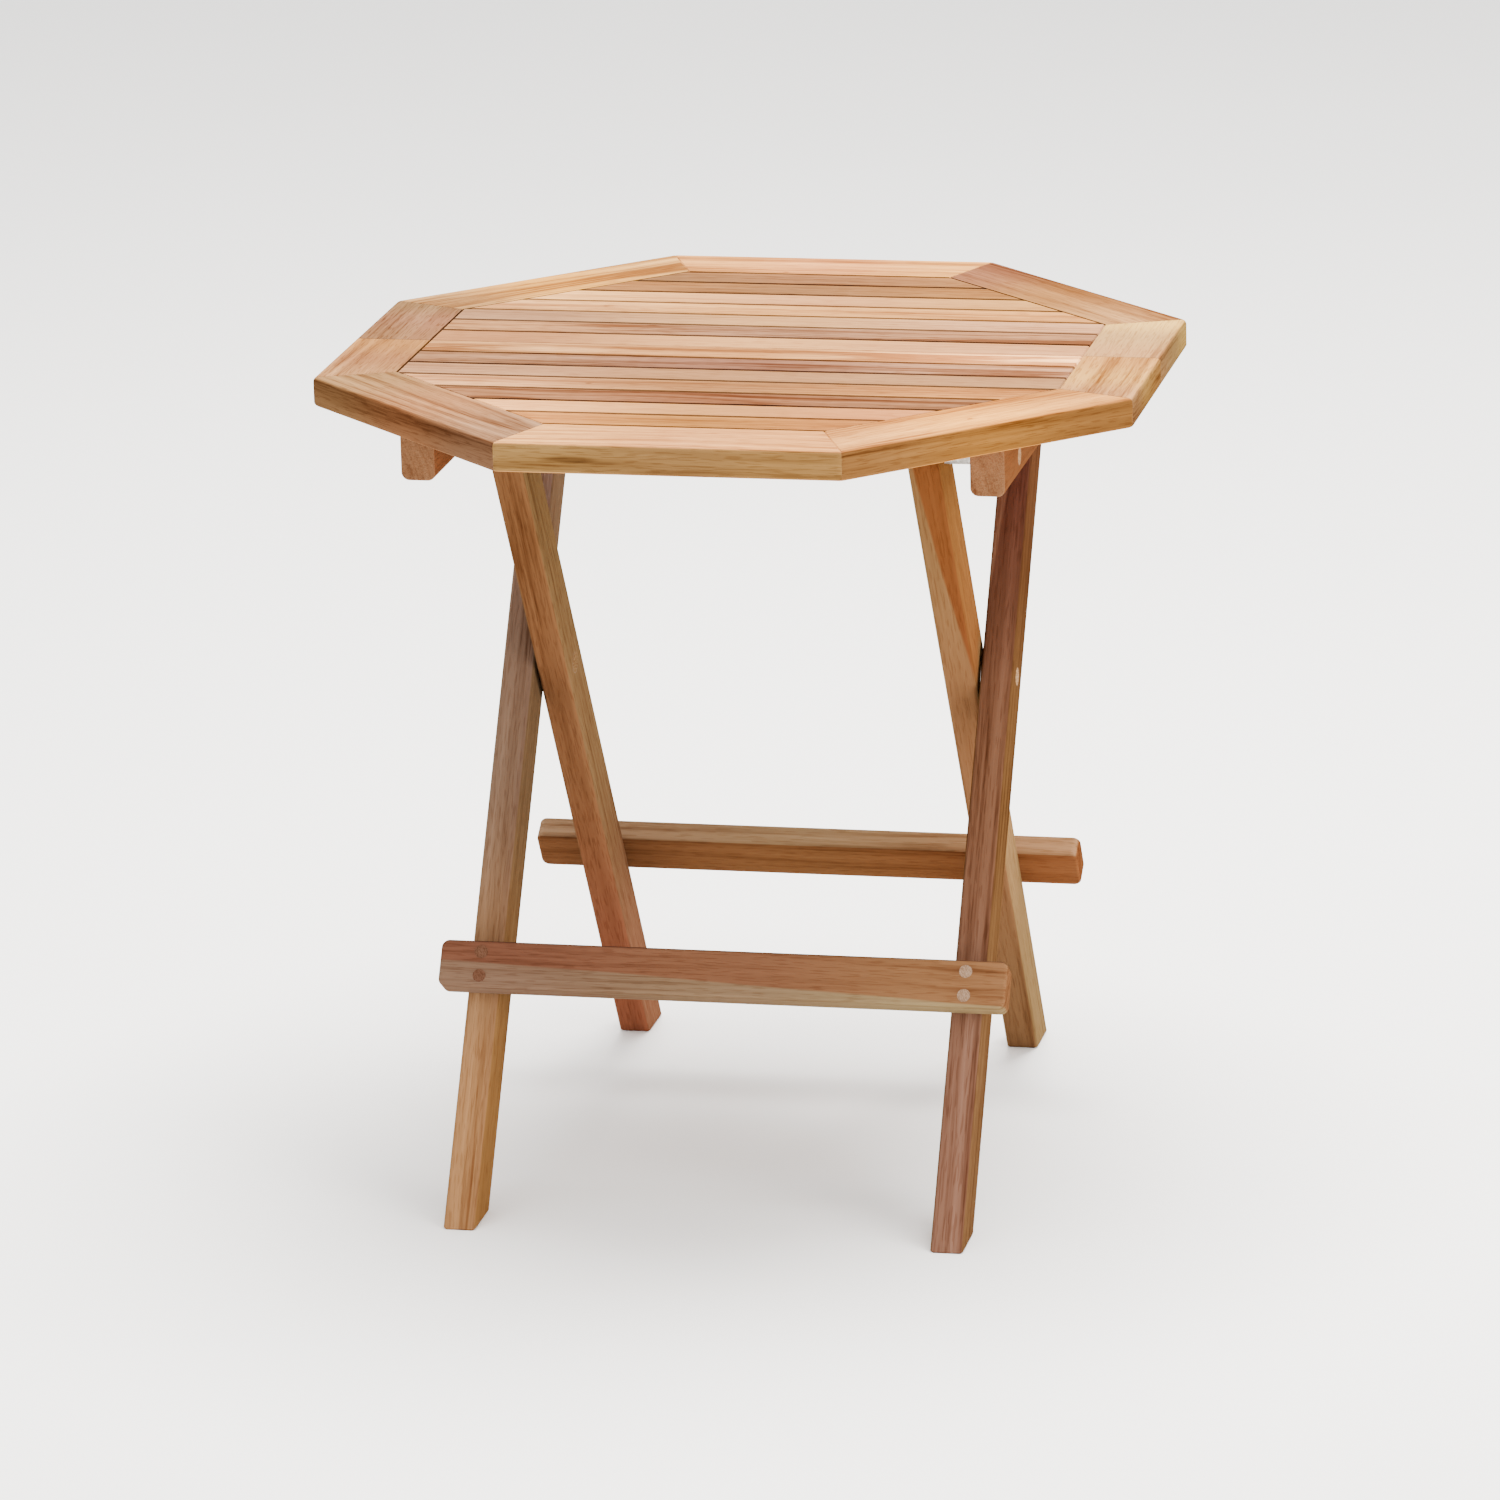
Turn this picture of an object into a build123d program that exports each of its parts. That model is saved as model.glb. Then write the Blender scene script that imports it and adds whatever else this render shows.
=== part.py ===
from build123d import *
import math
import os

# Folding picnic table: an octagonal slatted top in two halves, on two crossed leg frames.
#
# Millimetres, +Z up, origin on the floor under the middle of the top. +X runs along the slats to
# the right and +Y points to the back. The halves of the top meet on the plane y = 0, where butt
# hinges join the ends of their battens. The outer leg frame hangs from the back half and the inner
# leg frame from the front half, and the two frames cross on a bolt each side. Lifting the middle
# of the top folds the halves down over the legs while the legs close.

# ---- Overall sizes ----
table_height = 500.0
top_width = 500.0              # across the flats of the octagon
leg_inset = 90.5               # from the side edge of the top in to the outer face of an outer leg

# ---- Top ----
top_thickness = 18.0
border_width = 47.0
corner_round = 7.0             # at the eight upright corners
arris_round = 3.0              # along the outer edges, above and below
board_ease = 0.6               # along the mitres and the inner edge of the border
meeting_clearance = 0.2        # each half stops this far short of the plane where they meet
slats_per_half = 7
slat_gap = 2.0
slat_end_gap = 0.6
slat_ease = 1.0
tongue_length = 8.0
tongue_thickness = 6.0
groove_end_clearance = 0.5
spline_thickness = 4.0         # loose tongue across each mitre
spline_length = 22.0           # along the mitre
spline_width = 24.0            # across the mitre
spline_margin = 4.0            # from the bottom of the groove to the spline

# ---- Battens ----
batten_width = 21.0
batten_height = 30.0
batten_setback = 12.0          # from the edge of the top back to the batten's outer corner
batten_arris_round = 5.0
batten_end_round = 1.2
batten_screw_slats = (1, 2)    # the slats that take a screw, counted from the middle

# ---- Leg frames ----
leg_thickness = 20.0
leg_depth = 32.0
leg_round = 2.5
foot_ease = 1.0
leg_top_clearance = 1.0        # between a leg's round top and the underside of the slats
side_gap = 2.0                 # between neighbouring legs, and between leg and batten
pivot_inset = 49.5             # from the outer end of a batten in to the leg's pivot
crossing_drop = 167.0          # from the top pivots down to the crossing bolt
stretcher_rise = 152.5         # along the leg from the floor to the middle of the stretcher
stretcher_height = 29.4
stretcher_thickness = 16.0
stretcher_overhang = 15.5      # past the outer face of an outer leg
stretcher_corner_round = 5.0
stretcher_round = 2.0

# ---- Wooden plugs and wood screws ----
plug_radius = 4.0
plug_length = 5.0
plug_proud = 0.3
plug_spacing = 15.0            # between the two plugs at each end of a stretcher
screw_radius = 2.0
screw_head_radius = 3.8
screw_head_height = 2.5
screw_point = 4.0
screw_bite_top = 12.0          # how far a batten screw goes into the top
screw_bite_leg = 24.0          # how far a stretcher screw goes into the leg

# ---- Pivot bolts ----
bolt_radius = 3.0
bolt_head_radius = 5.5
bolt_head_height = 3.5
bolt_plug_length = 4.0
nut_height = 5.0
nut_across_flats = 10.0
nut_pocket_radius = 6.5
running_clearance = 0.05       # round a shank that turns in its hole
end_clearance = 0.4            # between faces of pieces that move past each other
washer_radius = 8.0
spacer_radius = 6.0

# ---- Butt hinges under the batten ends ----
hinge_width = 14.0
leaf_length = 28.0
leaf_thickness = 1.5
knuckle_radius = 2.5
knuckle_gap = 0.4
hinge_pin_radius = 1.2
hinge_screw_places = (9.0, 21.0)
hinge_screw_radius = 1.3
hinge_screw_head_radius = 2.4
hinge_screw_length = 14.0

# ---- Worked out from the sizes above ----
half_width = top_width / 2
top_low = table_height - top_thickness
inner_width = top_width - 2 * border_width
tongue_low = table_height - (top_thickness + tongue_thickness) / 2
slat_pitch = (inner_width / 2 - meeting_clearance) / slats_per_half
slat_width = slat_pitch - slat_gap
corner_slope = math.tan(math.radians(22.5))

outer_leg_x = half_width - leg_inset - leg_thickness / 2
inner_leg_x = outer_leg_x - leg_thickness - side_gap
batten_x = outer_leg_x + leg_thickness / 2 + side_gap + batten_width / 2
batten_low = top_low - batten_height
batten_outer_face = batten_x + batten_width / 2
batten_end = half_width * (1 + corner_slope) - batten_outer_face - batten_setback

pivot_y = batten_end - pivot_inset
pivot_z = top_low - leg_depth / 2 - leg_top_clearance
crossing_z = pivot_z - crossing_drop
leg_angle = math.degrees(math.atan2(pivot_y, crossing_drop))
leg_run = pivot_z / math.cos(math.radians(leg_angle))
stretcher_length = 2 * (outer_leg_x + leg_thickness / 2 + stretcher_overhang)
hinge_axis_z = batten_low - knuckle_radius - end_clearance
knuckle_length = (hinge_width - 2 * knuckle_gap) / 3
bolt_sink = bolt_plug_length + bolt_head_height
nut_sink = bolt_plug_length + nut_height + 2 * end_clearance

BACK = 1
FRONT = -1
side_name = {BACK: "back", FRONT: "front"}

# The outer frame leans with its feet to the front, the inner frame with its feet to the back.
outer_place = Pos(0, pivot_y, pivot_z) * Rot(-leg_angle, 0, 0)
inner_place = Pos(0, -pivot_y, pivot_z) * Rot(leg_angle, 0, 0)


# ---- Small shapes ----
def octagon(across):
    """Corners of an octagon centred on the origin, from the front left one round to the left."""
    reach = across / 2
    near = reach * corner_slope
    return [
        (-near, -reach), (near, -reach), (reach, -near), (reach, near),
        (near, reach), (-near, reach), (-reach, near), (-reach, -near),
    ]


def prism(points, low, high):
    """An upright solid with this outline between two heights."""
    outline = make_face(Polyline(*points, close=True))
    return extrude(Pos(0, 0, low) * outline, high - low, dir=(0, 0, 1))


def block(x_range, y_range, z_range):
    """A rectangular solid between the given limits, which may come in either order."""
    sizes = [abs(b - a) for a, b in (x_range, y_range, z_range)]
    middles = [(a + b) / 2 for a, b in (x_range, y_range, z_range)]
    return Pos(*middles) * Box(*sizes)


def turned(*outline):
    """A round piece about Z from its half outline of (radius, height) points."""
    return revolve(Plane.XZ * make_face(Polyline(*outline, close=True)), Axis.Z)


def across(x, y, z, piece):
    """A piece made along +Z, laid along +X with its foot at this point."""
    return Pos(x, y, z) * Rot(0, 90, 0) * piece


def rod(radius, length):
    """A plain round bar that stands on the origin."""
    return turned((0, 0), (radius, 0), (radius, length), (0, length))


def ring(inner, outer, length):
    """A plain tube that stands on the origin."""
    return turned((inner, 0), (outer, 0), (outer, length), (inner, length))


def wood_screw(radius, head_radius, length):
    """A countersunk screw that points up, with the flat of its head on the origin."""
    return turned(
        (0, 0), (head_radius, 0), (radius, screw_head_height),
        (radius, length - screw_point), (0, length),
    )


def eased_above(piece, size):
    """The piece with a small chamfer round its top face."""
    return chamfer(piece.faces().sort_by(Axis.Z)[-1].edges(), size)


def mirrored(piece):
    """The same piece on the left side of the table."""
    return mirror(piece, about=Plane.YZ)


def both(piece):
    """A right-hand piece and its left-hand twin."""
    return [piece, mirrored(piece)]


def half_of(side):
    """All the space on one side of the plane where the halves meet."""
    return block((-top_width, top_width), (side * meeting_clearance, side * top_width), (-1, 2 * table_height))


# ---- Top: border ----
def border_ring():
    """The whole octagonal border with its groove, before it is cut into boards."""
    slab = prism(octagon(top_width), top_low, table_height)
    slab = fillet(slab.edges().filter_by(Axis.Z), corner_round)
    slab = fillet(slab.faces().sort_by(Axis.Z)[-1].edges(), arris_round)
    slab = fillet(slab.faces().sort_by(Axis.Z)[0].edges(), arris_round)
    opening = prism(octagon(inner_width), top_low - 1, table_height + 1)
    groove_width = inner_width + 2 * (tongue_length + groove_end_clearance)
    groove = prism(octagon(groove_width), tongue_low, tongue_low + tongue_thickness)
    return slab - opening - groove


def mitre_spline(corner):
    """The loose tongue in one mitre, corners counted as in octagon()."""
    angle = -112.5 + 45 * corner
    groove_reach = inner_width / 2 + tongue_length + groove_end_clearance
    middle = groove_reach / math.cos(math.radians(22.5)) + spline_margin + spline_length / 2
    spline = Pos(middle, 0, tongue_low + tongue_thickness / 2) * Box(spline_length, spline_width, spline_thickness)
    return Rot(0, 0, angle) * spline


def border_board(border, first, last, side, held):
    """One board: the border between two corners, on one side of the table, less what it holds."""
    near = octagon(inner_width / 2)
    far = octagon(2 * top_width)
    wedge = prism([near[first], far[first], far[last], near[last]], top_low, table_height)
    sector = eased_above((wedge & half_of(side)).solid(), board_ease)
    board = border & sector
    for piece in held:
        board -= piece
    return board.solid()


# ---- Top: slats ----
def slat_middle(index):
    """How far the middle of a slat is from the plane where the halves meet."""
    return meeting_clearance + index * slat_pitch + slat_width / 2


def slat(side, index, held):
    """One slat with a tongue at each end, less what it holds, counted from the middle out."""
    near = slat_middle(index) - slat_width / 2
    y_range = (side * near, side * (near + slat_width))
    strip = block((-top_width, top_width), y_range, (0, 2 * table_height))
    board = prism(octagon(inner_width - 2 * slat_end_gap), top_low, table_height) & strip
    tongue = prism(octagon(inner_width + 2 * tongue_length), tongue_low, tongue_low + tongue_thickness) & strip
    piece = eased_above(board.solid(), slat_ease) + tongue
    for cut in held:
        piece -= cut
    return piece.solid()


# ---- Battens and their hardware ----
def batten_screw_places():
    """Distances from the meeting plane at which screws hold a batten to the top."""
    inner_edge = inner_width / 2 * (1 + corner_slope) - batten_x
    return [slat_middle(index) for index in batten_screw_slats] + [(inner_edge + batten_end) / 2]


def batten_screws(side):
    """The right-hand batten's screws, up through the batten into slats and border."""
    screw = wood_screw(screw_radius, screw_head_radius, batten_height + screw_bite_top)
    return [Pos(batten_x, side * place, batten_low) * screw for place in batten_screw_places()]


def top_pivot_bolt(side, length):
    """A bolt whose head is sunk in a batten's outer face, with a shank of this length."""
    bolt = turned(
        (0, 0), (bolt_radius, 0), (bolt_radius, length), (bolt_head_radius, length),
        (bolt_head_radius, length + bolt_head_height), (0, length + bolt_head_height),
    )
    return across(batten_outer_face - bolt_sink - length, side * pivot_y, pivot_z, bolt)


def bolt_plug(face_x, y, z, radius):
    """A plug flush with a face that looks to the right."""
    return across(face_x - bolt_plug_length, y, z, rod(radius, bolt_plug_length))


def inner_plug(face_x, y, z, radius):
    """A plug flush with a face that looks to the left."""
    return across(face_x, y, z, rod(radius, bolt_plug_length))


def hinge_leaf(side):
    """One leaf of the right-hand butt hinge: the back one has the two outer knuckles."""
    plate_start = knuckle_radius + 2 * end_clearance
    x_low = batten_x - hinge_width / 2
    z_range = (batten_low - leaf_thickness, batten_low)
    leaf = block((x_low, x_low + hinge_width), (side * plate_start, side * leaf_length), z_range)
    step = knuckle_length + knuckle_gap
    starts = [x_low, x_low + 2 * step] if side == BACK else [x_low + step]
    for start in starts:
        knuckle = across(start, 0, hinge_axis_z, rod(knuckle_radius, knuckle_length))
        bridge = block((start, start + knuckle_length), (side * meeting_clearance, side * plate_start), z_range)
        leaf += knuckle
        leaf += bridge
    bore = hinge_pin_radius if side == BACK else hinge_pin_radius + running_clearance
    leaf -= across(x_low - 1, 0, hinge_axis_z, rod(bore, hinge_width + 2))
    for screw in hinge_screws(side):
        leaf -= screw
    return leaf.solid()


def hinge_pin():
    """The pin of the right-hand hinge, tight in the back leaf."""
    return across(batten_x - hinge_width / 2, 0, hinge_axis_z, rod(hinge_pin_radius, hinge_width))


def hinge_screws(side):
    """The screws that hold one leaf of the right-hand hinge under its batten."""
    screw = wood_screw(hinge_screw_radius, hinge_screw_head_radius, hinge_screw_length)
    low = batten_low - leaf_thickness
    return [Pos(batten_x, side * place, low) * screw for place in hinge_screw_places]


def batten(side):
    """The right-hand batten of one half, bored for its pivot bolt and its screws."""
    x_range = (batten_x - batten_width / 2, batten_outer_face)
    bar = block(x_range, (side * meeting_clearance, side * batten_end), (batten_low, top_low))
    bar = fillet(bar.edges().filter_by(Axis.Y).sort_by(Axis.Z)[:2], batten_arris_round)
    end_face = bar.faces().sort_by(Axis.Y)[-1 if side == BACK else 0]
    bar = fillet(end_face.edges().sort_by(Axis.Z)[:-1], batten_end_round)
    y = side * pivot_y
    bar -= across(x_range[0] - 1, y, pivot_z, rod(bolt_radius, batten_width + 2))
    bar -= across(batten_outer_face - bolt_sink, y, pivot_z, rod(bolt_head_radius, bolt_sink + 1))
    for screw in batten_screws(side) + hinge_screws(side):
        bar -= screw
    return bar.solid()


# ---- Leg frames ----
def leg(place, x, cuts):
    """A leg with a round top on its pivot, leaning as its frame does and cut level at the floor."""
    run = leg_run + leg_depth
    outline = Pos(0, -run / 2) * Rectangle(leg_depth, run) + Circle(leg_depth / 2)
    bar = Pos(x, 0, 0) * extrude(Plane.YZ * outline, leg_thickness / 2, both=True)
    bar = fillet(bar.faces().filter_by(Axis.X).edges(), leg_round)
    bar = (place * bar) - block((-top_width, top_width), (-leg_run, leg_run), (-2 * leg_depth, 0))
    bar = chamfer(bar.faces().sort_by(Axis.Z)[0].edges(), foot_ease)
    for cut in cuts:
        bar -= cut
    return bar.solid()


def stretcher_z():
    """Height of a stretcher's middle in its frame, down the leg from the top pivot."""
    return stretcher_rise - leg_run


def stretcher_screws(place, side, leg_x):
    """The right-hand screws of one stretcher, from below their plugs into the leg."""
    depth = leg_depth / 2 + stretcher_thickness - plug_length
    length = stretcher_thickness - plug_length + screw_bite_leg
    screw = wood_screw(screw_radius, screw_head_radius, length)
    return [
        place * Pos(leg_x, side * depth, stretcher_z() + up * plug_spacing / 2) * Rot(90 * side, 0, 0) * screw
        for up in (-1, 1)
    ]


def stretcher_plugs(place, side, leg_x):
    """The right-hand plugs of one stretcher, standing just proud of its face."""
    depth = leg_depth / 2 + stretcher_thickness + plug_proud
    plug = rod(plug_radius, plug_length + plug_proud)
    return [
        place * Pos(leg_x, side * depth, stretcher_z() + up * plug_spacing / 2) * Rot(90 * side, 0, 0) * plug
        for up in (-1, 1)
    ]


def stretcher(place, side, cuts):
    """The bar across one frame, on the face of the legs that looks away from the other frame."""
    bar = Box(stretcher_length, stretcher_thickness, stretcher_height)
    bar = fillet(bar.edges().filter_by(Axis.Y), stretcher_corner_round)
    bar = fillet(bar.faces().filter_by(Axis.Y).edges(), stretcher_round)
    bar = place * Pos(0, side * (leg_depth + stretcher_thickness) / 2, stretcher_z()) * bar
    for cut in cuts:
        bar -= cut
    return bar.solid()


def nut(x, y, z):
    """A hexagon nut along X with its bolt hole, its left face at x."""
    hexagon = extrude(RegularPolygon(nut_across_flats / 2, 6, major_radius=False), nut_height)
    return across(x, y, z, hexagon - rod(bolt_radius, nut_height)).solid()


# ---- Write the sub-parts ----
os.makedirs("parts", exist_ok=True)


def save(name, *pieces):
    """Write one sub-part, of one solid or of several alike, to its own file."""
    shape = pieces[0] if len(pieces) == 1 else Compound(children=list(pieces))
    export_step(shape, f"parts/{name}.step")


def save_pair(name, pieces):
    """Write right-hand pieces and their left-hand twins to one file."""
    save(name, *[twin for piece in pieces for twin in both(piece)])


def make_top():
    """The border, slats and splines of both halves."""
    border = border_ring()
    splines = [mitre_spline(corner) for corner in range(8)]
    # Each board: its name, its first and last corner, and the half it belongs to.
    boards = [
        ("front_border", 0, 1, FRONT), ("front_right_border", 1, 2, FRONT), ("right_front_border", 2, 3, FRONT),
        ("right_back_border", 2, 3, BACK), ("back_right_border", 3, 4, BACK), ("back_border", 4, 5, BACK),
        ("back_left_border", 5, 6, BACK), ("left_back_border", 6, 7, BACK), ("left_front_border", 6, 7, FRONT),
        ("front_left_border", 7, 0, FRONT),
    ]
    for name, first, last, side in boards:
        held = [splines[corner] for corner in (first, last)]
        held += [twin for screw in batten_screws(side) for twin in both(screw)]
        save(name, border_board(border, first, last, side, held))
    for side in (FRONT, BACK):
        screws = [twin for screw in batten_screws(side) for twin in both(screw)]
        for index in range(slats_per_half):
            held = screws if index in batten_screw_slats else []
            save(f"{side_name[side]}_slat_{index + 1}", slat(side, index, held))
    save("front_mitre_splines", *[splines[corner] for corner in (7, 0, 1, 2)])
    save("back_mitre_splines", *[splines[corner] for corner in (3, 4, 5, 6)])


def make_battens_and_hinges():
    """Both halves' battens, batten screws and hinges."""
    for side in (FRONT, BACK):
        name = side_name[side]
        bar = batten(side)
        save(f"{name}_right_batten", bar)
        save(f"{name}_left_batten", mirrored(bar))
        save_pair(f"{name}_batten_screws", batten_screws(side))
        save_pair(f"{name}_hinge_leaves", [hinge_leaf(side)])
        save_pair(f"{name}_hinge_screws", hinge_screws(side))
        save_pair(f"{name}_batten_plugs", [bolt_plug(batten_outer_face, side * pivot_y, pivot_z, bolt_head_radius)])
    save_pair("hinge_pins", [hinge_pin()])


def make_outer_frame():
    """The outer legs, front stretcher, crossing bolts, and the bolts that hang them from the back half."""
    outer_face = outer_leg_x + leg_thickness / 2
    inner_face = outer_leg_x - leg_thickness / 2
    nut_x = inner_face + bolt_plug_length + end_clearance
    screws = stretcher_screws(outer_place, FRONT, outer_leg_x)
    plugs = stretcher_plugs(outer_place, FRONT, outer_leg_x)
    turning = bolt_radius + running_clearance
    cuts = screws + [
        across(inner_face - 1, pivot_y, pivot_z, rod(turning, leg_thickness + 2)),
        across(inner_face - 1, pivot_y, pivot_z, rod(nut_pocket_radius, nut_sink + 1)),
        across(inner_face - 1, 0, crossing_z, rod(bolt_radius, leg_thickness + 2)),
        across(outer_face - bolt_sink, 0, crossing_z, rod(bolt_head_radius, bolt_sink + 1)),
    ]
    right_leg = leg(outer_place, outer_leg_x, cuts)
    save("outer_right_leg", right_leg)
    save("outer_left_leg", mirrored(right_leg))
    all_cuts = [twin for piece in screws + plugs for twin in both(piece)]
    save("front_stretcher", stretcher(outer_place, FRONT, all_cuts))
    save_pair("front_stretcher_screws", screws)
    save_pair("front_stretcher_plugs", plugs)
    save_pair("outer_leg_plugs", [
        inner_plug(inner_face, pivot_y, pivot_z, nut_pocket_radius),
        bolt_plug(outer_face, 0, crossing_z, bolt_head_radius),
    ])
    batten_face = batten_x - batten_width / 2
    washer = ring(bolt_radius, washer_radius, side_gap - end_clearance)
    save_pair("back_pivot_bolts", [top_pivot_bolt(BACK, batten_outer_face - bolt_sink - nut_x)])
    save_pair("back_pivot_nuts", [nut(nut_x, pivot_y, pivot_z)])
    save_pair("back_pivot_washers", [across(batten_face - side_gap + end_clearance, pivot_y, pivot_z, washer)])


def make_crossing():
    """The bolts, nuts and washers where the legs cross, all carried by the outer legs."""
    outer_face = outer_leg_x + leg_thickness / 2
    nut_x = inner_leg_x - leg_thickness / 2 + bolt_plug_length + end_clearance
    length = outer_face - bolt_sink - nut_x
    bolt = turned(
        (0, 0), (bolt_radius, 0), (bolt_radius, length), (bolt_head_radius, length),
        (bolt_head_radius, length + bolt_head_height), (0, length + bolt_head_height),
    )
    washer = ring(bolt_radius, washer_radius, side_gap - end_clearance)
    washer_x = outer_leg_x - leg_thickness / 2 - side_gap + end_clearance
    save_pair("crossing_bolts", [across(nut_x, 0, crossing_z, bolt)])
    save_pair("crossing_nuts", [nut(nut_x, 0, crossing_z)])
    save_pair("crossing_washers", [across(washer_x, 0, crossing_z, washer)])


def make_inner_frame():
    """The inner legs, rear stretcher, and the bolts that hang them from the front half."""
    outer_face = inner_leg_x + leg_thickness / 2
    inner_face = inner_leg_x - leg_thickness / 2
    screws = stretcher_screws(inner_place, BACK, inner_leg_x)
    plugs = stretcher_plugs(inner_place, BACK, inner_leg_x)
    turning = bolt_radius + running_clearance
    cuts = screws + [
        across(inner_face - 1, -pivot_y, pivot_z, rod(bolt_radius, leg_thickness + 2)),
        across(inner_face - 1, -pivot_y, pivot_z, rod(bolt_head_radius, bolt_sink + 1)),
        across(inner_face - 1, 0, crossing_z, rod(turning, leg_thickness + 2)),
        across(inner_face - 1, 0, crossing_z, rod(nut_pocket_radius, nut_sink + 1)),
    ]
    right_leg = leg(inner_place, inner_leg_x, cuts)
    save("inner_right_leg", right_leg)
    save("inner_left_leg", mirrored(right_leg))
    all_cuts = [twin for piece in screws + plugs for twin in both(piece)]
    save("rear_stretcher", stretcher(inner_place, BACK, all_cuts))
    save_pair("rear_stretcher_screws", screws)
    save_pair("rear_stretcher_plugs", plugs)
    save_pair("inner_leg_plugs", [
        inner_plug(inner_face, -pivot_y, pivot_z, bolt_head_radius),
        inner_plug(inner_face, 0, crossing_z, nut_pocket_radius),
    ])
    # The front pivot parts in two lengths at the leg's face: a bolt with a spacer, and a sleeve nut.
    bolt_end_x = outer_face + end_clearance
    spacer = ring(bolt_radius, spacer_radius, batten_x - batten_width / 2 - bolt_end_x)
    save_pair("front_pivot_bolts", [top_pivot_bolt(FRONT, batten_outer_face - bolt_sink - bolt_end_x)])
    save_pair("front_pivot_spacers", [across(bolt_end_x, -pivot_y, pivot_z, spacer)])
    barrel_end = leg_thickness - bolt_plug_length - end_clearance
    sleeve = turned(
        (0, 0), (bolt_head_radius, 0), (bolt_head_radius, bolt_head_height),
        (bolt_radius, bolt_head_height), (bolt_radius, barrel_end), (0, barrel_end),
    )
    save_pair("front_pivot_sleeve_nuts", [across(inner_face + bolt_plug_length, -pivot_y, pivot_z, sleeve)])


make_top()
make_battens_and_hinges()
make_outer_frame()
make_crossing()
make_inner_frame()

# What the joints turn on, for the description of the moving parts.
pivot_arm = math.hypot(pivot_y, crossing_drop)
closed_lean = math.degrees(math.asin((pivot_z - hinge_axis_z) / pivot_arm))
print(f"hinge axis z {hinge_axis_z:.3f}, top pivots y {pivot_y:.3f} z {pivot_z:.3f}, crossing z {crossing_z:.3f}")
print(f"leg angle {leg_angle:.4f}, closed lean {closed_lean:.4f}")
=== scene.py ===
"""Looks of a folding picnic table: teak boards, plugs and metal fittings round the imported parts.

Metres, +Z up, origin on the floor under the middle of the top. +X runs along the slats to the
right and +Y to the back. Every material reads object coordinates, turned so that its own x
follows the grain.
"""

from __future__ import annotations

import logging
import math
from dataclasses import dataclass, field
from enum import Enum
from typing import Sequence

import bpy
from mathutils import Euler, Matrix, Vector


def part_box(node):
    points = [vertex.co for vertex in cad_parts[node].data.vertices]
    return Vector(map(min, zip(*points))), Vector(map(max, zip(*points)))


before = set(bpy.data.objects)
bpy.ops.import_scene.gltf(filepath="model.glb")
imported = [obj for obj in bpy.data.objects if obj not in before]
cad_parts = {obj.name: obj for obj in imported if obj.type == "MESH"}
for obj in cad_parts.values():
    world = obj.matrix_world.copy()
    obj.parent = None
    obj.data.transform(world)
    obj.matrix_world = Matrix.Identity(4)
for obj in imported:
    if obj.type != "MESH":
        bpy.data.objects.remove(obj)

logging.basicConfig(level=logging.INFO, format="%(message)s")
log = logging.getLogger("picnic_table")

Colour = tuple[float, float, float]
Triple = tuple[float, float, float]
Socket = bpy.types.NodeSocket

# Sizes of the table, in metres, and the slant of its legs.
HALF_TOP = 0.25
BORDER_WIDTH = 0.047
LONG_BORDER_BOARD = 0.207
SHORT_BORDER_BOARD = 0.103
SHORT_BORDER_NODES = (
    "left_front_border", "left_back_border", "right_front_border", "right_back_border",
)
LEG_LENGTH = 0.572
LEG_LEAN = math.radians(33.265)
STRETCHER_LENGTH = 0.35
SPLINE_SPAN = 0.5

# The table's own directions.
RIGHT = Vector((1, 0, 0))
BACK = Vector((0, 1, 0))
UP = Vector((0, 0, 1))

# What grain features multiply the ground colour of a board by.
DARK_WOOD = (0.44, 0.33, 0.26, 1.0)
LIGHT_WOOD = (1.34, 1.42, 1.50, 1.0)
LATEWOOD_LINE = (0.62, 0.50, 0.42, 1.0)
OPEN_PORE = (0.50, 0.38, 0.30, 1.0)
END_GRAIN_DARK = (0.66, 0.58, 0.53, 1.0)
END_GRAIN_LIGHT = (0.88, 0.83, 0.79, 1.0)
KNOT_HALO = (0.62, 0.50, 0.40, 1.0)
KNOT_CORE = (0.25, 0.15, 0.10, 1.0)
# Pales the arrises: part wear, part a painted highlight.
ARRIS_WEAR_AND_HIGHLIGHT = (1.25, 1.22, 1.18, 1.0)
PLUG_FIBRE = (0.60, 0.52, 0.46, 1.0)

# Reaches from an edge, in metres: of wear and a painted highlight on wood, of wear on metal.
WOOD_ARRIS_RADIUS = 0.0014
METAL_WEAR_RADIUS = 0.0005
# How far a band's edge wanders, in metres.
BAND_WANDER = 0.009

# How far the fibres of a plug slant from level.
PLUG_FIBRE_SLANT = math.radians(38.0)


class Figure(Enum):
    """How the growth rings show on a board: (rings per metre, waver in metres, strength)."""

    STRAIGHT = (170.0, 0.006, 0.75)
    WAVY = (120.0, 0.020, 1.0)
    CATHEDRAL = (150.0, 0.034, 1.15)
    QUIET = (140.0, 0.008, 0.40)


@dataclass(frozen=True)
class Band:
    """A strip of heartwood or sapwood that runs the length of a board.

    Attributes:
        edge: Where it starts across the board, from the board's middle, in metres.
        tint: What it multiplies the board's colour by.
        side: 1 if it lies beyond the edge, -1 if it lies before it.
        strength: 0 to 1.
        slope: How far the edge moves across the board per metre along the grain.
        blur: Width over which the tint comes in, in metres.
    """

    edge: float
    tint: Colour
    side: int = 1
    strength: float = 1.0
    slope: float = 0.0
    blur: float = 0.0028


@dataclass(frozen=True)
class Knot:
    """A small dark knot or mineral fleck.

    Attributes:
        along: Place along the grain from the board's middle, in metres.
        over: Place across the board from its middle, in metres.
        radius: Half its width across the grain, in metres.
        stretch: How many times longer than wide it is.
        depth: 0 to 1, how dark it is.
        down: Place through the board from its middle, in metres.
        reach: Half its size through the board, in metres.
    """

    along: float
    over: float
    radius: float = 0.0018
    stretch: float = 1.6
    depth: float = 0.6
    down: float = 0.0
    reach: float = 0.05


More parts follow.
